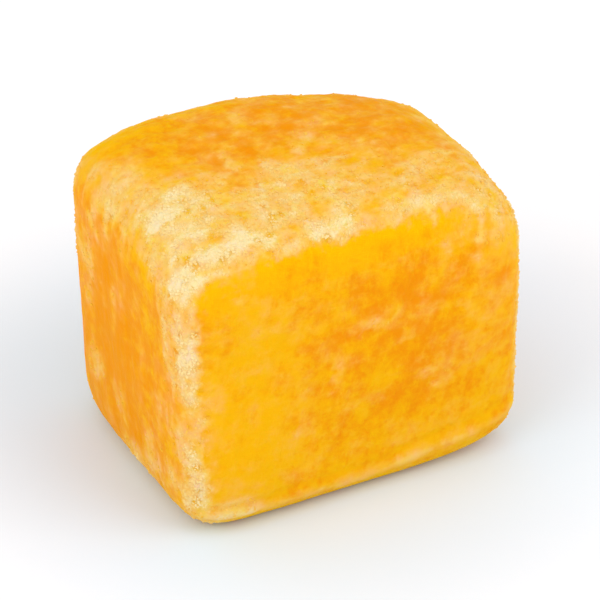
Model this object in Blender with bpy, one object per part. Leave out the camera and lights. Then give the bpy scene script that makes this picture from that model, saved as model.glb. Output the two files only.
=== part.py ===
"""Dried mango chunk: one soft dice of sugared, dried mango flesh, lying on its foot.

Metres, +Z up. The origin is the middle of the foot, under the middle of the chunk's box. The long front cut
faces -Y, the left cut -X. The chunk is one solid: seven worn knife cuts round a core, with the low relief that
drying gives the flesh, fibres that run up through it and a slow sag between them.
"""

import math
from collections import namedtuple

import bmesh
import bpy
import numpy as np
from mathutils import Vector, noise

MM = 0.001

# The size over the outermost points
LENGTH = 20.0 * MM
DEPTH = 15.6 * MM
HEIGHT = 16.8 * MM

# The core is the point that the cuts are measured from, this far above the foot
CORE_HEIGHT = 0.444 * HEIGHT

# How wide a band each kind of edge is worn round over
SIDE_WEAR = 2.3 * MM
TOP_WEAR = 3.4 * MM
KNOCK_WEAR = 4.9 * MM
FOOT_WEAR = 1.9 * MM

# How far the flesh has swollen out of a flat cut, at CROWN_SPAN from the cut's middle
CROWN_SPAN = 10.0 * MM
SIDE_CROWN = 0.15 * MM
TOP_CROWN = 0.25 * MM

# A cut faces heading degrees round from +X and lean degrees above the horizon. It lies reach from the core
Cut = namedtuple("Cut", "heading lean reach wear crown")
CUTS = {
    "right": Cut(0, -1, 0.475 * LENGTH, SIDE_WEAR, SIDE_CROWN),
    "left": Cut(178, -3, 0.500 * LENGTH, SIDE_WEAR, SIDE_CROWN),
    "front": Cut(-90, 1, 0.485 * DEPTH, SIDE_WEAR, SIDE_CROWN),
    "back": Cut(90, 0, 0.513 * DEPTH, TOP_WEAR, SIDE_CROWN),
    "top": Cut(-45, 86, 0.533 * HEIGHT, TOP_WEAR, TOP_CROWN),
    "knocked_corner": Cut(48, 49, 0.648 * LENGTH, KNOCK_WEAR, 0),
    "nicked_corner": Cut(-55, -44, 0.628 * LENGTH, FOOT_WEAR, 0),
    "foot": Cut(0, -90, CORE_HEIGHT, FOOT_WEAR, 0),
}

# The fibres run up through the chunk, leaning towards +X. Those that show on the cuts stand out as ridges
FIBRE_LEAN = 18.0
FIBRE_PITCH = 1.9 * MM
FIBRE_RUN = 9.0 * MM
FIBRE_HEIGHT = 0.13 * MM

# The slow sag of the drying flesh between its firmer parts
SAG_PITCH = 6.5 * MM
SAG_DEPTH = 0.24 * MM

# The relief fades out this close to the foot, which stays flat
FADE_HEIGHT = 2.0 * MM
FLAT_WITHIN = 0.02 * MM

# Rows of faces along each side of the cut block, and the halvings that find the surface along a ray
GRID = 26
HALVINGS = 30

# The rows wander by this share of the half block, over waves of this share, so that no straight row shows
WANDER = 0.02
WANDER_WAVE = 0.35

FLESH_COLOUR = (0.93, 0.40, 0.03, 1.0)
FLESH_ROUGHNESS = 0.55


def facing(heading, lean):
    """The unit vector that points heading degrees round from +X and lean degrees above the horizon."""
    turn = math.radians(heading)
    rise = math.radians(lean)
    return Vector((math.cos(rise) * math.cos(turn), math.cos(rise) * math.sin(turn), math.sin(rise)))


def worn_join(first, second, wear):
    """The greater of two distances, rounded where they come within wear of each other."""
    overlap = np.clip(wear - np.abs(first - second), 0, None)
    return np.maximum(first, second) + overlap**2 / (4 * wear)


def outside_by(points):
    """How far points, an array measured from the core, lie outside the worn cuts. It is negative inside."""
    outside = None
    for cut in CUTS.values():
        normal = np.array(facing(cut.heading, cut.lean))
        height = points @ normal
        beside = points - np.outer(height, normal)
        swell = cut.crown * (beside**2).sum(axis=1) / CROWN_SPAN**2
        distance = height - cut.reach + swell
        outside = distance if outside is None else worn_join(outside, distance, cut.wear)
    return outside


def on_the_surface(rays):
    """The points where rays from the core leave the worn block, by halving."""
    inner = np.zeros(len(rays))
    outer = np.full(len(rays), 2.0)
    for _ in range(HALVINGS):
        middle = (inner + outer) / 2
        inside = outside_by(rays * middle[:, None]) < 0
        inner = np.where(inside, middle, inner)
        outer = np.where(inside, outer, middle)
    return rays * inner[:, None]


def fitted_to_size(points):
    """The points, scaled to the size of the chunk and set with the middle of the foot at the origin."""
    low = points.min(axis=0)
    high = points.max(axis=0)
    foot_middle = np.array([(low[0] + high[0]) / 2, (low[1] + high[1]) / 2, low[2]])
    return (points - foot_middle) * (np.array([LENGTH, DEPTH, HEIGHT]) / (high - low))


def relief_at(point):
    """How far the dried flesh stands out from the cut at a point: fibres across their run, and the slow sag."""
    fibre = facing(0, 90 - FIBRE_LEAN)
    along = point.dot(fibre)
    across = point - along * fibre
    strand = noise.noise(across / FIBRE_PITCH + fibre * (along / FIBRE_RUN))
    sag = noise.noise(point / SAG_PITCH)
    fade = min(1.0, point.z / FADE_HEIGHT)
    return fade * (FIBRE_HEIGHT * strand + SAG_DEPTH * sag)


def cut_block():
    """A cube whose sides are a grid of GRID by GRID faces, from -1 to 1 each way."""
    block = bmesh.new()
    bmesh.ops.create_cube(block, size=2)
    bmesh.ops.subdivide_edges(block, edges=block.edges[:], cuts=GRID - 1, use_grid_fill=True)
    return block


def rays_through(block):
    """A ray from the core through each corner of the block, nudged so that the rows of faces wander."""
    corners = [vertex.co + WANDER * noise.noise_vector(vertex.co / WANDER_WAVE) for vertex in block.verts]
    return np.array([corner[:] for corner in corners]) * np.array([LENGTH, DEPTH, HEIGHT]) / 2


def place(block, points):
    """Moves the block's vertices to points, an array in their order."""
    for vertex, point in zip(block.verts, points):
        vertex.co = point
    block.normal_update()


def dried_chunk():
    """The chunk's surface: the block cast out onto the worn cuts, with the relief raised from it."""
    block = cut_block()
    place(block, fitted_to_size(on_the_surface(rays_through(block))))
    raised = [vertex.co + vertex.normal * relief_at(vertex.co) for vertex in block.verts]
    points = fitted_to_size(np.array([point[:] for point in raised]))
    points[points[:, 2] < FLAT_WITHIN, 2] = 0
    place(block, points)
    return block


def flesh_material():
    """Dried mango flesh: deep golden orange, half matt under its dusting of sugar."""
    material = bpy.data.materials.new("dried_mango_flesh")
    material.use_nodes = True
    shader = material.node_tree.nodes["Principled BSDF"]
    shader.inputs["Base Color"].default_value = FLESH_COLOUR
    shader.inputs["Roughness"].default_value = FLESH_ROUGHNESS
    shader.inputs["Metallic"].default_value = 0.0
    material.diffuse_color = FLESH_COLOUR
    return material


def add_chunk():
    """The one solid of the chunk, as a smooth-shaded object."""
    block = dried_chunk()
    mesh = bpy.data.meshes.new("mango_chunk")
    block.to_mesh(mesh)
    block.free()
    mesh.shade_smooth()
    mesh.materials.append(flesh_material())
    chunk = bpy.data.objects.new("mango_chunk", mesh)
    bpy.context.scene.collection.objects.link(chunk)
    return chunk


def clear_scene():
    """Removes every object that the scene starts with."""
    for thing in list(bpy.data.objects):
        bpy.data.objects.remove(thing)


def main():
    clear_scene()
    add_chunk()


if __name__ == "__main__":
    main()
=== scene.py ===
"""Looks of a dried mango chunk: fibrous golden flesh, a bloom of fine sugar on it, and sugar grains.

Metres, +Z up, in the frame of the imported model. The long front cut faces -Y, the left cut -X. Patterns are
worked out in millimetres, because the flesh's fibres, pits and sugar are all near that size.
"""

import math
from collections import namedtuple

import bmesh
import bpy
from bpy.props import FloatProperty, FloatVectorProperty, IntProperty, PointerProperty
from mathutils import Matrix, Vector


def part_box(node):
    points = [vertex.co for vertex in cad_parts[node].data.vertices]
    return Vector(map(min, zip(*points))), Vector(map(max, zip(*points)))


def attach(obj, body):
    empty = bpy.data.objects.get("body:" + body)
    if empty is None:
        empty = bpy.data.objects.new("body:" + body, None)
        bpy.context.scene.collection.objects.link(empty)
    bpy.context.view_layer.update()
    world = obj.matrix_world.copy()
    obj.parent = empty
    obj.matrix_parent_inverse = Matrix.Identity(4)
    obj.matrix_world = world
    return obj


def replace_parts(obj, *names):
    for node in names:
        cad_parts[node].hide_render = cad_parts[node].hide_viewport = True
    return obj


bl_info = {
    "name": "Dried mango chunk",
    "version": (1, 0, 0),
    "blender": (4, 5, 0),
    "location": "3D View > Sidebar > Mango",
    "description": "Makes the surface, the sugar and the stage of a dried mango chunk",
    "category": "Object",
}

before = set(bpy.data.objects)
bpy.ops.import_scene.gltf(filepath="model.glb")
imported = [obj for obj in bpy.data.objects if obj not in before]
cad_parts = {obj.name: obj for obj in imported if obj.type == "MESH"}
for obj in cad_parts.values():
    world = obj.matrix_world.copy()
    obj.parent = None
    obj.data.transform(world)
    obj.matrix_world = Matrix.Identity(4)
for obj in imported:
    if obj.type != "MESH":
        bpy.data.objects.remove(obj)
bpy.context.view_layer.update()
CHUNK = "mango_chunk"
LOW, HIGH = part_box(CHUNK)

MM = 0.001
PER_MM = 1000.0

# The chunk's height in millimetres, and the point near its middle that the camera and the lights face
HEIGHT = (HIGH.z - LOW.z) * PER_MM
MIDDLE = Vector((0.4, -0.2, 7.45)) * MM

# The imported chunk's corners are welded, its triangles paired where they bend less than PAIR_WITHIN, and the
# pairs smoothed as one skin
WELD_WITHIN = 0.001 * MM
PAIR_WITHIN = math.radians(40)
SKIN_LEVELS = 2
EASE_ROUNDS = 4

# Blender's noise keeps close to 0.5, so it is stretched by this
NOISE_GAIN = 3

# The fibres run up through the chunk and lean towards +X
FIBRE_LEAN = math.radians(18)
FIBRE = (math.sin(FIBRE_LEAN), 0.0, math.cos(FIBRE_LEAN))

# Strands are drawn out along the fibres by STRAND_STRETCH. They wander within STRAND_DRIFT, over waves of
# DRIFT_PITCH, both in millimetres. The finest are HAIR times as far apart as the others
STRAND_STRETCH = 7.0
STRAND_DRIFT = 1.2
DRIFT_PITCH = 4.0
HAIR = 0.4

# The lip along the foot of the front cut, pale with frost and with painted light from the floor below it, and
# the groove
# above it. All in millimetres: the lip lies at LIP_HEIGHT, and past LIP_RISES_FROM to the right it climbs by
# LIP_SLOPE
LIP_HEIGHT = 1.15
LIP_RISES_FROM = 0.0
LIP_SLOPE = 0.13
LIP_WIDTH = 0.55
LIP_WANDER = 0.2
LIP_WANDER_PITCH = 2.4
GROOVE_ABOVE = 0.7
GROOVE_WIDTH = 0.35

# Pairs like these are soft steps from 0 to 1: where one begins and where it ends. These two are along the
# height in millimetres, and keep relief and grains off the flat foot
RELIEF_STARTS = (0.1, 1.6)
GRAINS_START = (0.2, 1.0)

# Which cut a normal belongs to: how far it leans forward rather than another way, and how far up
FRONT_SHARE = (-0.3, 0.32)
TOP_SHARE = (0.45, 0.75)

# How far a normal tilts where an edge holds sugar, and where a painted glow stands for light getting through
# it
WORN_TILT = (0.01, 0.16)
LIT_TILT = (-0.02, 0.28)

# The frosted front of the top ends at y = TOP_BORDER on the chunk's middle line, and TOP_BORDER_TURN further
# forward for each millimetre to the right. It wanders by a share of TOP_BORDER_WANDER, and fades over
# TOP_BORDER_FADE each way. All in millimetres
TOP_BORDER = -1.6
TOP_BORDER_TURN = 0.14
TOP_BORDER_FADE = 2.5
TOP_BORDER_WANDER = 2.5

# Parts of the cuts as soft steps, in millimetres that way: how far left and right on the top, forward on the
# left cut, and right and up on the front cut, where streaks of frost hang from the worn corner
TOP_LEFTWARD = (3.0, 7.5)
TOP_RIGHTWARD = (-1.0, 8.0)
LEFT_FORWARD = (3.4, 7.6)
HANGING_RIGHTWARD = (3.0, 7.5)
HANGING_UPWARD = (9.5, 15.5)

# A soft round patch of a cut, in millimetres along the cut's own two axes: where its middle is, how far it
# reaches each way, and how much more sugar lies there, or less where the amount is below 0
Dusting = namedtuple("Dusting", "across along reach_across reach_along amount")

# Across is +X and along is +Y
TOP_DUSTINGS = (
    Dusting(-8.3, -2.0, 1.4, 1.0, 0.45),
    Dusting(-7.8, -4.3, 1.4, 0.9, 0.30),
    Dusting(-6.3, -5.6, 1.8, 0.9, 0.40),
    Dusting(-8.7, 1.7, 1.2, 1.3, 0.36),
    Dusting(-8.4, -0.2, 1.1, 0.9, 0.25),
    Dusting(-5.8, -3.1, 1.2, 1.0, 0.08),
    Dusting(-2.8, -3.5, 2.3, 1.4, 0.14),
    Dusting(-3.0, 2.4, 2.0, 1.2, 0.14),
    Dusting(1.5, -5.7, 2.6, 0.7, -0.22),
    Dusting(2.1, -0.6, 1.3, 0.9, 0.25),
    Dusting(-3.0, 0.4, 0.7, 1.5, 0.30),
    Dusting(-1.5, 0.1, 0.6, 1.5, 0.30),
    Dusting(0.6, 0.3, 0.9, 0.8, 0.25),
    Dusting(-8.3, 3.0, 1.6, 1.3, 0.22),
    Dusting(-6.3, 5.2, 3.0, 2.2, -0.35),
)

# Across is +X and along is +Z
FRONT_DUSTINGS = (
    Dusting(2.5, 9.3, 0.9, 0.8, 0.28),
    Dusting(-1.9, 7.9, 0.7, 1.8, 0.28),
    Dusting(-3.3, 5.6, 0.9, 1.2, 0.20),
    Dusting(-5.3, 9.5, 1.2, 0.7, 0.14),
    Dusting(4.7, 6.5, 1.0, 1.4, 0.28),
    Dusting(0.8, 10.4, 1.8, 0.7, 0.36),
    Dusting(7.3, 14.2, 1.7, 1.7, 0.35),
    Dusting(5.5, 14.0, 1.3, 1.1, 0.30),
    Dusting(-7.0, 15.1, 1.9, 1.4, 0.68),
    Dusting(-8.6, 8.0, 1.0, 2.6, 0.35),
    Dusting(-7.4, 1.5, 2.4, 1.0, 0.52),
    Dusting(7.4, 2.2, 1.3, 1.3, -0.25),
    Dusting(7.0, 9.0, 1.4, 3.5, 0.14),
    Dusting(1.5, 5.5, 2.6, 2.6, -0.15),
    Dusting(5.0, 9.7, 1.1, 0.9, -0.20),
    Dusting(5.8, 12.6, 0.8, 0.9, -0.20),
)

# Across is +Y and along is +Z
LEFT_DUSTINGS = (
    Dusting(-3.3, 15.0, 1.6, 1.2, 0.50),
    Dusting(-6.0, 13.7, 1.8, 1.2, -0.26),
    Dusting(0.8, 15.6, 2.6, 1.3, 0.40),
    Dusting(-6.6, 8.0, 1.3, 3.2, 0.22),
    Dusting(-3.5, 3.3, 2.2, 1.6, 0.22),
    Dusting(3.8, 9.5, 1.4, 4.0, 0.20),
    Dusting(3.5, 4.5, 1.6, 2.2, 0.18),
    Dusting(-1.5, 1.8, 4.5, 1.3, 0.35),
    Dusting(-7.0, 2.5, 2.2, 2.5, 0.30),
    Dusting(-0.8, 7.5, 1.5, 3.0, -0.15),
    Dusting(1.0, 12.0, 1.1, 1.4, -0.15),
)

# The flesh is deeper in tone round the heart of the front cut and about DEEP_Y. All in millimetres, and
# HEART_SPREAD in square millimetres
HEART_X = 2.5
HEART_Z = 8.5
HEART_SPREAD = 60.0
DEEP_Y = 2.5
DEEP_REACH = 9.0

# Painted shade makes it deeper too on the left and right rims below their upper ends, and along the foot
# where it meets the floor. It is lighter at the upper left of the front. Towards the back the painted glow of
# its edges is dimmed. Soft steps, in millimetres that way
LEFT_RIM_SHADE = (8.3, 9.6)
LEFT_RIM_SHADE_DOWNWARD = (-15.8, -12.5)
RIGHT_RIM_SHADE = (6.2, 8.6)
RIGHT_RIM_SHADE_DOWNWARD = (-13.0, -10.5)
FOOT_SHADE = (-1.3, -0.6)
LIGHT_LEFTWARD = (3.5, 7.0)
LIGHT_UPWARD = (13.0, 15.3)
UNLIT_BACKWARD = (2.0, 6.5)

# The floor reaches this far each way and lies this far under the foot
FLOOR_REACH = 3.0
FLOOR_DROP = 0.01 * MM

# The share of the warm glow's reach over which it is full
GLOW_FULL = 0.4

# Where the square soft lights stand from the middle, and how wide they are
KEY_STANDS = Vector((0.25, -0.35, 0.42))
FILL_STANDS = Vector((-0.45, -0.1, 0.3))
LIGHT_SIZE = 0.4

# Nothing nearer to the camera than this is shown
CLIP_START = 0.01

# Attributes that the flesh's mesh carries for its material, and the grains for theirs
FROST = "frost"
LIP_FROST_AND_LIGHT = "lip"
LIT_EDGE = "lit_edge"
TINT = "tint"


class Term:
    """The output of a node, on which further nodes can be written as Python expressions."""

    def __init__(self, sheet, socket):
        self.sheet = sheet
        self.socket = socket

    def is_vector(self):
        return self.socket.type in {"VECTOR", "RGBA"}

    def also(self, name):
        """Another output of the node that this one comes from."""
        return Term(self.sheet, self.socket.node.outputs[name])

    def __add__(self, other):
        return self.sheet.sum_of("ADD", self, other)

    def __sub__(self, other):
        return self.sheet.sum_of("SUBTRACT", self, other)

    def __rsub__(self, other):
        return self.sheet.sum_of("SUBTRACT", other, self)

    def __mul__(self, other):
        return self.sheet.sum_of("MULTIPLY", self, other)

    def __rtruediv__(self, other):
        return self.sheet.sum_of("DIVIDE", other, self)

    def __neg__(self):
        return self.sheet.sum_of("MULTIPLY", self, -1.0)

    def __abs__(self):
        return self.sheet.sum_of("ABSOLUTE", self)

    __radd__ = __add__
    __rmul__ = __mul__


class Sheet:
    """A node tree, of a material or of geometry, that is written as expressions."""

    def __init__(self, tree):
        self.tree = tree

    def node(self, kind, settings=None, sockets=None, output=0):
        """Adds a node, its settings first and then its sockets' values or links, and returns one output."""
        made = self.tree.nodes.new(kind)
        for name, value in (settings or {}).items():
            if name == "stops":
                self.set_stops(made.color_ramp, value)
            else:
                setattr(made, name, value)
        for key, value in (sockets or {}).items():
            if isinstance(value, Term):
                self.tree.links.new(value.socket, made.inputs[key])
            else:
                made.inputs[key].default_value = value
        return Term(self, made.outputs[output]) if made.outputs else made

    def set_stops(self, ramp, stops):
        """Gives a colour ramp its stops, which are pairs of a place from 0 to 1 and a colour."""
        for index, (place, colour) in enumerate(stops):
            stop = ramp.elements[index] if index < 2 else ramp.elements.new(place)
            stop.position = place
            stop.color = colour

    def sum_of(self, operation, *terms):
        """One sum on numbers, or on vectors where any of the terms is one."""
        vectors = [isinstance(term, Term) and term.is_vector() or isinstance(term, tuple) for term in terms]
        if not any(vectors):
            return self.node("ShaderNodeMath", {"operation": operation}, dict(enumerate(terms)))
        if operation == "MULTIPLY" and not all(vectors):
            vector, number = terms if vectors[0] else reversed(terms)
            return self.node("ShaderNodeVectorMath", {"operation": "SCALE"}, {0: vector, 3: number})
        return self.node("ShaderNodeVectorMath", {"operation": operation}, dict(enumerate(terms)))

    def greatest(self, first, *others):
        """The greatest of several numbers."""
        for other in others:
            first = self.sum_of("MAXIMUM", first, other)
        return first

    def dot(self, vector, other):
        """How far a vector reaches along another."""
        settings = {"operation": "DOT_PRODUCT"}
        return self.node("ShaderNodeVectorMath", settings, {0: vector, 1: other}, "Value")

    def parts(self, vector):
        """The X, Y and Z of a vector, or the red, green and blue of a colour."""
        first = self.node("ShaderNodeSeparateXYZ", {}, {0: vector})
        return [Term(self, socket) for socket in first.socket.node.outputs]

    def step(self, value, low, high):
        """A soft step from 0 where value is low to 1 where it is high."""
        settings = {"interpolation_type": "SMOOTHSTEP"}
        return self.node("ShaderNodeMapRange", settings, {"Value": value, "From Min": low, "From Max": high})

    def near(self, value, width):
        """1 where value is 0, and softly down to 0 where it is width away from that."""
        return 1 - self.step(abs(value), 0.0, width)

    def noise(self, place, pitch, detail=2.0, roughness=0.5):
        """Smooth noise around zero, mostly from -0.5 to 0.5, whose lumps lie about pitch apart."""
        sockets = {"Vector": place, "Scale": 1 / pitch, "Detail": detail, "Roughness": roughness}
        return self.node("ShaderNodeTexNoise", {}, sockets) * NOISE_GAIN - NOISE_GAIN / 2

    def cells(self, place, pitch):
        """Cells about pitch apart: how far from their middles, as a share of pitch, and a random 0 to 1."""
        distance = self.node("ShaderNodeTexVoronoi", {}, {"Vector": place, "Scale": 1 / pitch})
        return distance, self.parts(distance.also("Color"))[0]

    def colour_blend(self, share, first, second):
        """The first colour where share is 0 and the second where it is 1."""
        return self.node("ShaderNodeMix", {"data_type": "RGBA"}, {0: share, 6: first, 7: second}, 2)

    def ramp(self, value, stops):
        """The colour at a value from 0 to 1 between stops, which are pairs of a value and a colour."""
        return self.node("ShaderNodeValToRGB", {"stops": stops}, {"Fac": value})

    def along_fibres(self, place, stretch):
        """The place squeezed along the fibres, so that noise on it is drawn out along them by stretch."""
        lengthwise = self.dot(place, FIBRE) * (1 / stretch - 1)
        return place + self.node("ShaderNodeVectorMath", {"operation": "SCALE"}, {0: FIBRE, 3: lengthwise})


def strands(sheet, place, pitch):
    """Fibre strands, mostly from -0.5 between them to 0.5 on them: streaks on the sides, dots on the top."""
    sockets = {"Vector": place, "Scale": 1 / DRIFT_PITCH, "Detail": 1.0}
    drift = sheet.node("ShaderNodeTexNoise", {}, sockets, "Color")
    drawn_out = sheet.along_fibres(place + drift * STRAND_DRIFT, STRAND_STRETCH)
    return sheet.noise(drawn_out, pitch, detail=2.5, roughness=0.55)


class GeometrySheet(Sheet):
    """A Geometry Nodes tree with named inputs. It begins with the geometry that it is given."""

    KINDS = {float: "NodeSocketFloat", int: "NodeSocketInt", bpy.types.Material: "NodeSocketMaterial"}

    def __init__(self, name, inputs):
        super().__init__(bpy.data.node_groups.new(name, "GeometryNodeTree"))
        self.values = {}
        interface = self.tree.interface
        interface.new_socket("Geometry", in_out="INPUT", socket_type="NodeSocketGeometry")
        interface.new_socket("Geometry", in_out="OUTPUT", socket_type="NodeSocketGeometry")
        for label, value in inputs.items():
            socket = interface.new_socket(label, in_out="INPUT", socket_type=self.KINDS[type(value)])
            self.values[socket.identifier] = value
        self.source = self.tree.nodes.new("NodeGroupInput")
        self.geometry = self.input("Geometry")

    def input(self, label):
        """One of the tree's named inputs."""
        return Term(self, self.source.outputs[label])

    def noted(self, geometry, name, value, domain="POINT"):
        """The geometry with a number noted on each of its points or instances."""
        settings = {"data_type": "FLOAT", "domain": domain}
        sockets = {"Geometry": geometry, "Name": name, "Value": value}
        return self.node("GeometryNodeStoreNamedAttribute", settings, sockets)

    def note(self, name):
        """A number that was noted before."""
        return self.node("GeometryNodeInputNamedAttribute", {"data_type": "FLOAT"}, {"Name": name})

    def chance(self, low, high, seed):
        """A random number, or a random vector, between low and high for each point."""
        kind, first, output = ("FLOAT_VECTOR", 0, 0) if isinstance(low, tuple) else ("FLOAT", 2, 1)
        sockets = {first: low, first + 1: high, "Seed": seed}
        return self.node("FunctionNodeRandomValue", {"data_type": kind}, sockets, output)

    def finish(self, geometry):
        """Ends the tree with its instances realized and its material set."""
        real = self.node("GeometryNodeRealizeInstances", {}, {0: geometry})
        dressed = self.node("GeometryNodeSetMaterial", {}, {0: real, "Material": self.input("Material")})
        self.node("NodeGroupOutput", {}, {0: dressed})

    def run_on(self, mesh):
        """The plain mesh that the tree makes of a mesh."""
        carrier = bpy.data.objects.new("carrier", mesh)
        bpy.context.scene.collection.objects.link(carrier)
        modifier = carrier.modifiers.new("grow", "NODES")
        modifier.node_group = self.tree
        for identifier, value in self.values.items():
            modifier[identifier] = value
        made = plain_mesh(carrier)
        bpy.data.objects.remove(carrier)
        return made


def plain_mesh(thing):
    """The mesh of an object as its modifiers leave it."""
    graph = bpy.context.evaluated_depsgraph_get()
    finished = thing.evaluated_get(graph)
    return bpy.data.meshes.new_from_object(finished, preserve_all_data_layers=True, depsgraph=graph)


def add_piece(name, mesh):
    """A finished piece of the chunk, with its place in its mesh."""
    piece = bpy.data.objects.new(name, mesh)
    bpy.context.scene.collection.objects.link(piece)
    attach(piece, "root")
    return piece


def smooth_chunk(facet):
    """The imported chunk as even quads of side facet: its triangles paired, smoothed and remeshed."""
    block = bmesh.new()
    block.from_mesh(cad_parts[CHUNK].data)
    bmesh.ops.remove_doubles(block, verts=block.verts, dist=WELD_WITHIN)
    limits = {"angle_face_threshold": PAIR_WITHIN, "angle_shape_threshold": PAIR_WITHIN}
    bmesh.ops.join_triangles(block, faces=block.faces[:], **limits)
    mesh = bpy.data.meshes.new("smooth_chunk")
    block.to_mesh(mesh)
    block.free()
    carrier = bpy.data.objects.new("smooth_chunk", mesh)
    bpy.context.scene.collection.objects.link(carrier)
    skin = carrier.modifiers.new("skin", "SUBSURF")
    skin.levels = SKIN_LEVELS
    skin.render_levels = SKIN_LEVELS
    quads = carrier.modifiers.new("quads", "REMESH")
    quads.mode = "VOXEL"
    quads.voxel_size = facet
    ease = carrier.modifiers.new("ease", "SMOOTH")
    ease.iterations = EASE_ROUNDS
    made = plain_mesh(carrier)
    bpy.data.objects.remove(carrier)
    return made


def edge_of(sheet, normal):
    """How far a normal tilts from its nearest axis: 0 on the flat of a cut, 0.3 half way round an edge."""
    nx, ny, nz = sheet.parts(normal)
    return 1 - sheet.greatest(abs(nx), abs(ny), abs(nz))


def lip_and_groove(sheet, place, normal):
    """Where the lip along the foot of the front cut lies, and the groove above it, each from 0 to 1."""
    x, _, z = sheet.parts(place)
    forward = sheet.step(-sheet.parts(normal)[1], 0.3, 0.8)
    wander = sheet.noise(place, LIP_WANDER_PITCH) * LIP_WANDER
    above = z - LIP_HEIGHT - sheet.greatest(x - LIP_RISES_FROM, 0.0) * LIP_SLOPE + wander
    lip = sheet.near(above, LIP_WIDTH) * forward
    groove = sheet.near(above - GROOVE_ABOVE, GROOVE_WIDTH) * forward
    return lip, groove


def dusted(sheet, across, along, dustings):
    """How much more or less sugar a cut's patches bring to a place on it."""
    total = 0.0
    for dusting in dustings:
        aside = (across - dusting.across) * (1 / dusting.reach_across)
        ahead = (along - dusting.along) * (1 / dusting.reach_along)
        total = total + sheet.near(aside * aside + ahead * ahead, 1.0) * dusting.amount
    return total


def frost_on(sheet, place, normal):
    """How thickly the sugar has bloomed, from 0 on bare flesh to about 1 where it is white.

    The front cut is nearly bare, but for its patches and for the streaks that hang from its upper right. The
    top is frosted over its front, the left cut down its front margin, and each worn edge a little. What is
    added to the place of a noise only keeps it from agreeing with another. Clots are longer along X.
    """
    x, y, z = sheet.parts(place)
    nx, ny, nz = sheet.parts(normal)
    wander = sheet.noise(place, pitch=3.4)
    ragged = sheet.noise(place, pitch=0.55, roughness=0.7)
    patches = sheet.noise(place + (7.0, 3.0, 5.0), pitch=1.9, roughness=0.55)
    clots = sheet.noise(place * (0.6, 1.0, 1.0) + (1.0, 8.0, 2.0), pitch=0.7, roughness=0.6)
    streaks = strands(sheet, place + (0.0, 5.0, 0.0), pitch=0.9)
    height = sheet.step(z, 0.0, HEIGHT)
    tilt = edge_of(sheet, normal)
    shift = wander * 0.8 + clots * 0.6

    front = -ny - sheet.greatest(nx * -1.2 + 0.36, nz, nx * 0.8) + patches * 0.14 + ragged * 0.26
    front = sheet.step(front, *FRONT_SHARE)
    top = sheet.step(nz, *TOP_SHARE) * (1 - front)
    sides = (1 - front) * (1 - top)

    # The top: thickest before its border, along the ridge over the front cut, and to the left
    before_border = TOP_BORDER - x * TOP_BORDER_TURN - y + wander * TOP_BORDER_WANDER
    near = sheet.step(before_border, -TOP_BORDER_FADE, TOP_BORDER_FADE)
    rightward = sheet.step(x, *TOP_RIGHTWARD)
    ridge = sheet.step(-ny, 0.2, 0.6)
    leftward = sheet.step(-x, *TOP_LEFTWARD)
    on_top = 0.03 + near * (0.5 + leftward * 0.2 - rightward * 0.1) + ridge * (0.22 - rightward * 0.2)
    on_top = on_top + patches * 0.35 + clots * (0.3 + near * 0.25)
    on_top = on_top + dusted(sheet, x + shift, y + shift, TOP_DUSTINGS)

    # The sides: thicker with height, and along the front margin of the left cut
    margin = sheet.step(-y + streaks * 1.6, *LEFT_FORWARD)
    on_sides = height * 0.15 - 0.05 + margin * (0.55 + height * 0.17) + streaks * 0.35
    on_sides = on_sides + wander * 0.3 + patches * 0.3 + clots * (0.22 + margin * 0.1)
    on_sides = on_sides + dusted(sheet, y + shift, z + shift, LEFT_DUSTINGS) * sheet.step(-nx, 0.2, 0.5)

    # The front: a strip inside its edges is bare, but for where it rolls over to the right
    rolled = sheet.step(nx, 0.05, 0.5)
    strip = sheet.step(tilt + nz * 0.2, 0.03, 0.2) * (1 - rolled)
    hanging = sheet.step(x, *HANGING_RIGHTWARD) * sheet.step(z, *HANGING_UPWARD) * (0.3 + streaks * 0.8)
    on_front = -0.07 + rolled * 0.1 + hanging + wander * 0.12 + patches * 0.2 + clots * 0.22 - strip * 0.35
    on_front = on_front + dusted(sheet, x + shift, z + shift, FRONT_DUSTINGS)

    worn = sheet.step(tilt, *WORN_TILT) * (1 - front) * (0.12 + patches * 0.2)
    return on_top * top + on_sides * sides + on_front * front + worn


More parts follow.
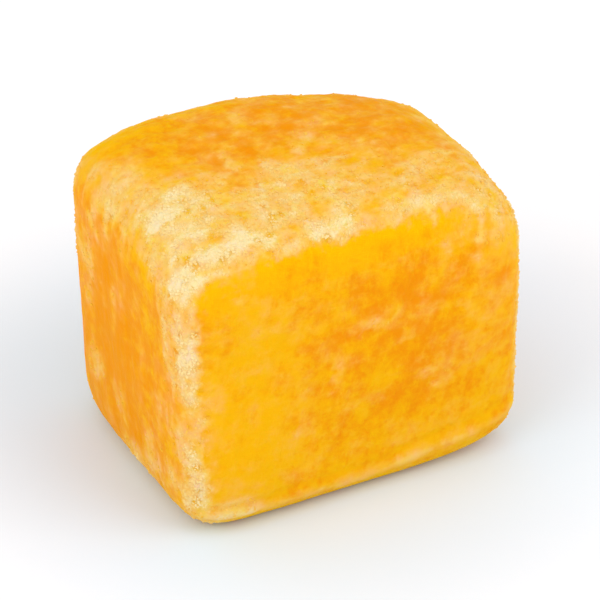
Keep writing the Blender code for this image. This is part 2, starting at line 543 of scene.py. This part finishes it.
def flesh_surface(settings, material):
    """Geometry Nodes that raise the fibres, the lip and the sugar crust from a smooth chunk.

    They note its frost, its lit edges and its lip for the material.
    """
    sheet = GeometrySheet("flesh_surface", {
        "Strand Pitch": settings.strand_pitch * PER_MM,
        "Strand Height": settings.strand_height,
        "Crust Pitch": settings.crust_pitch * PER_MM,
        "Crust Height": settings.crust_height,
        "Lip Height": settings.lip_height,
        "Material": material,
    })
    place = sheet.node("GeometryNodeInputPosition") * PER_MM
    normal = sheet.node("GeometryNodeInputNormal")
    noted = sheet.noted(sheet.geometry, FROST, frost_on(sheet, place, normal))
    # Painted glow: the edges are noted as lit, for light that gets through the thin flesh there
    noted = sheet.noted(noted, LIT_EDGE, sheet.step(edge_of(sheet, normal), *LIT_TILT))
    lip, groove = lip_and_groove(sheet, place, normal)
    # The lip's note pales the film there: frost, and painted light from the floor on the rounding that faces
    # it
    noted = sheet.noted(noted, LIP_FROST_AND_LIGHT, lip - groove * 0.3)

    # The ends of the strands stand out further, on the top and the foot
    ends = 1 + sheet.step(abs(sheet.parts(normal)[2]), 0.3, 0.9) * 0.8
    strand = strands(sheet, place, sheet.input("Strand Pitch")) * ends
    frosted = sheet.step(sheet.note(FROST), 0.0, 1.0)
    from_lump, chance = sheet.cells(place, sheet.input("Crust Pitch"))
    lumps = (1 - sheet.step(from_lump, 0.1, 0.75)) * (0.4 + chance * 0.6)
    crust = sheet.noise(place, sheet.input("Crust Pitch"), detail=3.0, roughness=0.65)
    crust = (crust + 0.3 + lumps * 0.7) * frosted
    raised = strand * sheet.input("Strand Height") + crust * sheet.input("Crust Height")
    raised = raised + (lip - groove * 0.6) * sheet.input("Lip Height")
    off_the_foot = sheet.step(sheet.parts(place)[2], *RELIEF_STARTS)
    offset = normal * (raised * off_the_foot)
    sheet.finish(sheet.node("GeometryNodeSetPosition", {}, {"Geometry": noted, "Offset": offset}))
    return sheet


def flesh_material(settings):
    """Dried mango flesh: golden, fibrous and translucent, with a pale, matt film where sugar has bloomed."""
    material = bpy.data.materials.new("mango_flesh")
    material.use_nodes = True
    material.node_tree.nodes.clear()
    sheet = Sheet(material.node_tree)
    place = sheet.node("ShaderNodeTexCoord", {}, {}, "Object") * PER_MM
    frost = sheet.node("ShaderNodeAttribute", {"attribute_name": FROST}, {}, "Fac")
    lip = sheet.node("ShaderNodeAttribute", {"attribute_name": LIP_FROST_AND_LIGHT}, {}, "Fac")
    lit_edge = sheet.node("ShaderNodeAttribute", {"attribute_name": LIT_EDGE}, {}, "Fac")
    crust = sheet.step(frost, 0.0, 1.0)

    strand = strands(sheet, place, settings.strand_pitch * PER_MM)
    hair = strands(sheet, place + (3.0, 1.0, 0.0), settings.strand_pitch * PER_MM * HAIR)
    ripeness = sheet.noise(place, pitch=4.5)
    mottle = sheet.noise(place + (2.0, 9.0, 4.0), pitch=1.3)
    speck = sheet.noise(place, pitch=0.45, detail=3.0, roughness=0.7)
    grain = sheet.noise(place, pitch=0.18, detail=1.0)
    from_crystal, whiteness = sheet.cells(place, pitch=0.24)

    # Only some cells hold a pit, and specks make it ragged
    from_pit, depth = sheet.cells(place + speck * 0.35, pitch=0.7)
    pit = (1 - sheet.step(from_pit, 0.1, 0.5)) * sheet.step(depth, 0.4, 0.7)

    x, y, z = sheet.parts(place)
    aside = x - HEART_X
    upward = z - HEART_Z
    heart = sheet.near(aside * aside + upward * upward, HEART_SPREAD)
    # Painted shade: the left and right rims below their upper ends, and the foot where it meets the floor
    left = sheet.step(-x, *LEFT_RIM_SHADE) * sheet.step(-z, *LEFT_RIM_SHADE_DOWNWARD)
    right = sheet.step(x, *RIGHT_RIM_SHADE) * sheet.step(-z, *RIGHT_RIM_SHADE_DOWNWARD)
    foot = sheet.step(-z, *FOOT_SHADE)
    light = sheet.step(-x, *LIGHT_LEFTWARD) * sheet.step(z, *LIGHT_UPWARD)
    # Painted shade deepens the tone on the left rim, the right rim and the foot
    tone = 0.25 - sheet.near(y - DEEP_Y, DEEP_REACH) * 0.5 - heart * 0.35 - left * 0.33 - foot * 0.3
    tone = tone + light * 0.35 - right * 0.3
    tone = tone + ripeness * 0.3 + mottle * 0.4 + strand * 0.12 + hair * 0.1 + speck * 0.3 + grain * 0.1
    flesh = sheet.colour_blend(sheet.step(tone, -0.4, 0.4), settings.amber, settings.gold)
    # Painted glow of light through the thin edges, dimmed as painted shade towards the back and on the right
    # rim
    unlit = sheet.step(y, *UNLIT_BACKWARD) * 0.6 + right * 0.8
    flesh = sheet.colour_blend(sheet.step(lit_edge - unlit, 0.0, 1.0) * 0.75, flesh, settings.painted_edge_glow)

    crystalline = whiteness * 0.3 - 0.15 - sheet.step(from_crystal, 0.4, 0.75) * 0.15
    # The lip's frost and its painted floor light pale the film
    cover = frost + lip * 0.4 + speck * (0.12 + crust * 0.2) + hair * 0.05
    cover = cover + crystalline * (0.1 + crust * 0.35) - pit * crust * 0.65
    film = sheet.ramp(cover * 0.8, (
        (0.12, settings.peach),
        (0.45, settings.honey),
        (0.7, settings.cream),
        (0.95, settings.white),
    ))
    stain = sheet.noise(place + (4.0, 4.0, 9.0), pitch=0.9)
    # The left rim's painted shade deepens the film there too
    film = film + stain * (0.0, 0.03, -0.08) + left * (0.0, -0.05, -0.01)

    relief = strand * 0.016 + hair * 0.01 + speck * (0.014 + crust * 0.03) + grain * (0.008 + crust * 0.01)
    relief = relief - from_crystal * crust * 0.06 - pit * crust * 0.06
    bump = sheet.node("ShaderNodeBump", {}, {"Strength": 0.9, "Distance": MM, "Height": relief})
    bare = sheet.node("ShaderNodeBsdfPrincipled", {}, {
        "Base Color": flesh,
        "Roughness": 0.45,
        "Normal": bump,
        "Specular IOR Level": 0.01,
        "Subsurface Weight": 0.5,
        "Subsurface Radius": (1.0, 0.4, 0.1),
        "Subsurface Scale": settings.glow_depth,
    })
    bloomed = sheet.node("ShaderNodeBsdfPrincipled", {}, {
        "Base Color": film,
        "Roughness": 0.8,
        "Normal": bump,
        "Specular IOR Level": 0.03,
        "Subsurface Weight": 0.25,
        "Subsurface Radius": (1.0, 0.7, 0.4),
        "Subsurface Scale": settings.bloom_depth,
    })
    share = sheet.step(cover, -0.2, 0.5)
    skin = sheet.node("ShaderNodeMixShader", {}, {0: share, 1: bare, 2: bloomed})
    sheet.node("ShaderNodeOutputMaterial", {}, {"Surface": skin})
    material.diffuse_color = (*settings.gold[:3], 1.0)
    return material


def sugar_material(settings):
    """Sugar grains: from stained with syrup, where few lie, to white in the thickest of the crust."""
    material = bpy.data.materials.new("mango_sugar")
    material.use_nodes = True
    material.node_tree.nodes.clear()
    sheet = Sheet(material.node_tree)
    tint = sheet.node("ShaderNodeAttribute", {"attribute_name": TINT}, {}, "Fac")
    shader = sheet.node("ShaderNodeBsdfPrincipled", {}, {
        "Base Color": sheet.ramp(tint, (
            (0.15, settings.grain_stained),
            (0.45, settings.grain_honey),
            (0.7, settings.grain_cream),
            (1.0, settings.grain_white),
        )),
        "Roughness": 0.5,
        "Specular IOR Level": 0.05,
    })
    sheet.node("ShaderNodeOutputMaterial", {}, {"Surface": shader})
    material.diffuse_color = tuple(settings.grain_white)
    return material


def sugar_scatter(settings, material):
    """Geometry Nodes that lay sugar grains on the flesh, half sunk: more and whiter where it is frosted."""
    sheet = GeometrySheet("sugar_scatter", {
        "Grain": settings.grain,
        "Sunk": settings.grain_sunk,
        "Grains per Area": settings.grains_per_mm2 * PER_MM**2,
        "Seed": settings.seed,
        "Material": material,
    })
    seed = sheet.input("Seed")
    frost = sheet.note(FROST)
    place = sheet.node("GeometryNodeInputPosition") * PER_MM
    off_the_foot = sheet.step(sheet.parts(place)[2], *GRAINS_START)
    density = sheet.step(frost, 0.1, 1.0) * sheet.input("Grains per Area") * off_the_foot
    sockets = {"Mesh": sheet.geometry, "Density": density, "Seed": seed}
    scattered = sheet.node("GeometryNodeDistributePointsOnFaces", {"distribute_method": "RANDOM"}, sockets)
    inwards = scattered.also("Normal") * -sheet.input("Sunk")
    laid = sheet.node("GeometryNodeInstanceOnPoints", {}, {
        "Points": sheet.node("GeometryNodeSetPosition", {}, {"Geometry": scattered, "Offset": inwards}),
        "Instance": sheet.node("GeometryNodeMeshCube", {}, {"Size": (1.0, 0.8, 0.65)}),
        "Rotation": sheet.chance((0.0, 0.0, 0.0), (math.tau, math.tau, math.tau), seed + 1),
        "Scale": sheet.chance(0.4, 1.15, seed) * sheet.input("Grain"),
    })
    tint = sheet.step(frost, -0.1, 1.35) + sheet.chance(-0.07, 0.07, seed + 2)
    sheet.finish(sheet.noted(laid, TINT, tint, "INSTANCE"))
    return sheet


def length_property(name, description, millimetres):
    """A length that a user may change, given in millimetres."""
    length = millimetres * MM
    return FloatProperty(name=name, description=description, default=length, unit="LENGTH", precision=5)


def colour_property(name, description, red, green, blue):
    """A colour that a user may change."""
    default = (red, green, blue, 1.0)
    return FloatVectorProperty(name=name, description=description, default=default, subtype="COLOR", size=4)


class FleshSettings(bpy.types.PropertyGroup):
    """Sizes and colours of the flesh."""

    facet: length_property("Facet", "Side of the faces of the finished surface", 0.135)
    strand_pitch: length_property("Strand Pitch", "Distance between fibre strands", 0.8)
    strand_height: length_property("Strand Height", "How far the strands stand out", 0.05)
    crust_pitch: length_property("Crust Pitch", "Distance between lumps of the sugar crust", 0.55)
    crust_height: length_property("Crust Height", "How far the sugar crust stands out", 0.09)
    lip_height: length_property("Lip Height", "How far the lip under the front cut stands out", 0.1)
    glow_depth: length_property("Glow Depth", "How far red light travels in the flesh", 1.2)
    bloom_depth: length_property("Bloom Depth", "How far light travels in the bloomed sugar", 0.3)
    gold: colour_property("Gold", "The ripest flesh", 0.88, 0.45, 0.003)
    amber: colour_property("Amber", "The deeper, more orange flesh", 0.84, 0.285, 0.003)
    painted_edge_glow: colour_property("Lemon", "Flesh at an edge, where more light gets through", 0.88, 0.50, 0.0)
    peach: colour_property("Peach", "Flesh under the thinnest bloom of sugar", 0.89, 0.46, 0.065)
    honey: colour_property("Honey", "A thin bloom of sugar", 0.89, 0.56, 0.135)
    cream: colour_property("Cream", "A thick bloom of sugar", 0.90, 0.65, 0.25)
    white: colour_property("White", "The thickest crust of sugar", 0.92, 0.75, 0.40)


class SugarSettings(bpy.types.PropertyGroup):
    """Sizes and colours of the sugar grains."""

    grain: length_property("Grain", "Length of a middling sugar grain", 0.15)
    grain_sunk: length_property("Grain Sunk", "How deep the middles of the grains lie in the crust", 0.035)
    grains_per_mm2: FloatProperty(
        name="Grains per mm²", description="How many grains lie on a square millimetre of full bloom",
        default=60.0
    )
    seed: IntProperty(name="Seed", description="Another number lays the grains elsewhere", default=4)
    grain_white: colour_property("White Grain", "Grains in the thickest of the crust", 0.93, 0.76, 0.41)
    grain_cream: colour_property("Cream Grain", "Grains in a thick bloom", 0.91, 0.67, 0.26)
    grain_honey: colour_property("Honey Grain", "Grains in a thin bloom", 0.90, 0.57, 0.14)
    grain_stained: colour_property("Stained Grain", "Grains that are soaked with syrup", 0.89, 0.47, 0.03)


class StageSettings(bpy.types.PropertyGroup):
    """The camera, the lights and the floor."""

    azimuth: FloatProperty(
        name="Azimuth", description="How far round from the front the camera stands",
        default=math.radians(-28.1), subtype="ANGLE"
    )
    elevation: FloatProperty(
        name="Elevation", description="How far above the horizon the camera stands",
        default=math.radians(34.2), subtype="ANGLE"
    )
    distance: FloatProperty(
        name="Distance", description="From the camera to the point it looks at", default=0.477, unit="LENGTH"
    )
    lens: FloatProperty(name="Lens", description="Focal length of the camera", default=562.5, unit="CAMERA")
    sky: FloatProperty(name="Sky", description="Brightness of the white surroundings", default=0.85)
    key: FloatProperty(
        name="Key", description="Soft light in front, to the right", default=0.88, unit="POWER"
    )
    fill: FloatProperty(name="Fill", description="Soft light to the left", default=0.7, unit="POWER")
    floor: colour_property("Floor", "The plain pale floor", 0.99, 0.985, 1.0)
    near_floor: colour_property("Near Floor", "The floor where the warm glow falls on it", 0.79, 0.90, 1.0)
    near_reach: length_property("Near Reach", "How far from the chunk's middle the glow falls", 26.0)


class MANGO_OT_flesh(bpy.types.Operator):
    """Make the flesh: the chunk's skin with its fibres and its crust of bloomed sugar"""

    bl_idname = "mango.flesh"
    bl_label = "Flesh"

    def execute(self, context):
        settings = context.scene.mango_flesh
        mesh = flesh_surface(settings, flesh_material(settings)).run_on(smooth_chunk(settings.facet))
        mesh.shade_smooth()
        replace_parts(add_piece("mango_flesh", mesh), CHUNK)
        return {"FINISHED"}


class MANGO_OT_sugar(bpy.types.Operator):
    """Lay sugar grains on the flesh"""

    bl_idname = "mango.sugar"
    bl_label = "Sugar"

    def execute(self, context):
        settings = context.scene.mango_sugar
        flesh = bpy.data.objects["mango_flesh"]
        mesh = sugar_scatter(settings, sugar_material(settings)).run_on(flesh.data)
        mesh.shade_flat()
        add_piece("mango_sugar", mesh)
        return {"FINISHED"}


class MANGO_OT_stage(bpy.types.Operator):
    """Set the plain stage: the floor, the soft lights and the camera"""

    bl_idname = "mango.stage"
    bl_label = "Stage"

    def execute(self, context):
        settings = context.scene.mango_stage
        add_floor(settings)
        add_sky(settings)
        add_soft_light("key", settings.key, KEY_STANDS)
        add_soft_light("fill", settings.fill, FILL_STANDS)
        add_camera(settings)
        context.scene.view_settings.view_transform = "Standard"
        return {"FINISHED"}


def floor_material(settings):
    """A plain pale floor, a little cooler near the chunk, so that the chunk's warm glow leaves it white."""
    material = bpy.data.materials.new("pale_floor")
    material.use_nodes = True
    material.node_tree.nodes.clear()
    sheet = Sheet(material.node_tree)
    place = sheet.node("ShaderNodeTexCoord", {}, {}, "Object")
    distance = sheet.node("ShaderNodeVectorMath", {"operation": "LENGTH"}, {0: place}, "Value")
    far = sheet.step(distance, settings.near_reach * GLOW_FULL, settings.near_reach)
    shader = sheet.node("ShaderNodeBsdfPrincipled", {}, {
        "Base Color": sheet.colour_blend(far, settings.near_floor, settings.floor),
        "Roughness": 0.6,
        "Specular IOR Level": 0.1,
    })
    sheet.node("ShaderNodeOutputMaterial", {}, {"Surface": shader})
    return material


def add_floor(settings):
    """A wide floor, a hair under the chunk's foot."""
    reach = FLOOR_REACH
    corners = [(x, y, -FLOOR_DROP) for x in (-reach, reach) for y in (-reach, reach)]
    mesh = bpy.data.meshes.new("floor")
    mesh.from_pydata(corners, [], [(0, 2, 3, 1)])
    mesh.materials.append(floor_material(settings))
    floor = bpy.data.objects.new("floor", mesh)
    bpy.context.scene.collection.objects.link(floor)


def add_sky(settings):
    """White surroundings that light the chunk from all sides."""
    world = bpy.data.worlds.new("white_tent")
    world.use_nodes = True
    background = world.node_tree.nodes["Background"]
    background.inputs["Color"].default_value = (1.0, 1.0, 1.0, 1.0)
    background.inputs["Strength"].default_value = settings.sky
    bpy.context.scene.world = world


def add_soft_light(name, power, offset):
    """A square soft light that stands at an offset from the chunk's middle and faces it."""
    light = bpy.data.lights.new(name, "AREA")
    light.energy = power
    light.size = LIGHT_SIZE
    lamp = bpy.data.objects.new(name, light)
    lamp.location = MIDDLE + offset
    lamp.rotation_euler = (-offset).to_track_quat("-Z", "Y").to_euler()
    bpy.context.scene.collection.objects.link(lamp)


def add_camera(settings):
    """The camera at the photograph's viewing angle, framed on the chunk."""
    away = Vector((
        math.sin(settings.azimuth) * math.cos(settings.elevation),
        -math.cos(settings.azimuth) * math.cos(settings.elevation),
        math.sin(settings.elevation),
    ))
    camera = bpy.data.objects.new("camera", bpy.data.cameras.new("camera"))
    camera.data.lens = settings.lens
    camera.data.clip_start = CLIP_START
    camera.location = MIDDLE + away * settings.distance
    camera.rotation_euler = (-away).to_track_quat("-Z", "Y").to_euler()
    bpy.context.scene.collection.objects.link(camera)
    bpy.context.scene.camera = camera


class MANGO_PT_panel(bpy.types.Panel):
    """The chunk's settings and the buttons that make its pieces"""

    bl_idname = "MANGO_PT_panel"
    bl_label = "Dried Mango Chunk"
    bl_space_type = "VIEW_3D"
    bl_region_type = "UI"
    bl_category = "Mango"

    def draw(self, context):
        for operator, settings in STEPS:
            box = self.layout.box()
            box.operator(operator)
            group = getattr(context.scene, settings)
            for name in group.__annotations__:
                box.prop(group, name)


STEPS = (("mango.flesh", "mango_flesh"), ("mango.sugar", "mango_sugar"), ("mango.stage", "mango_stage"))

CLASSES = (
    FleshSettings,
    SugarSettings,
    StageSettings,
    MANGO_OT_flesh,
    MANGO_OT_sugar,
    MANGO_OT_stage,
    MANGO_PT_panel,
)


def register():
    for part in CLASSES:
        bpy.utils.register_class(part)
    bpy.types.Scene.mango_flesh = PointerProperty(type=FleshSettings)
    bpy.types.Scene.mango_sugar = PointerProperty(type=SugarSettings)
    bpy.types.Scene.mango_stage = PointerProperty(type=StageSettings)


def unregister():
    for _, settings in STEPS:
        delattr(bpy.types.Scene, settings)
    for part in reversed(CLASSES):
        bpy.utils.unregister_class(part)


def main():
    register()
    bpy.ops.mango.flesh()
    bpy.ops.mango.sugar()
    bpy.ops.mango.stage()


if __name__ == "__main__":
    main()
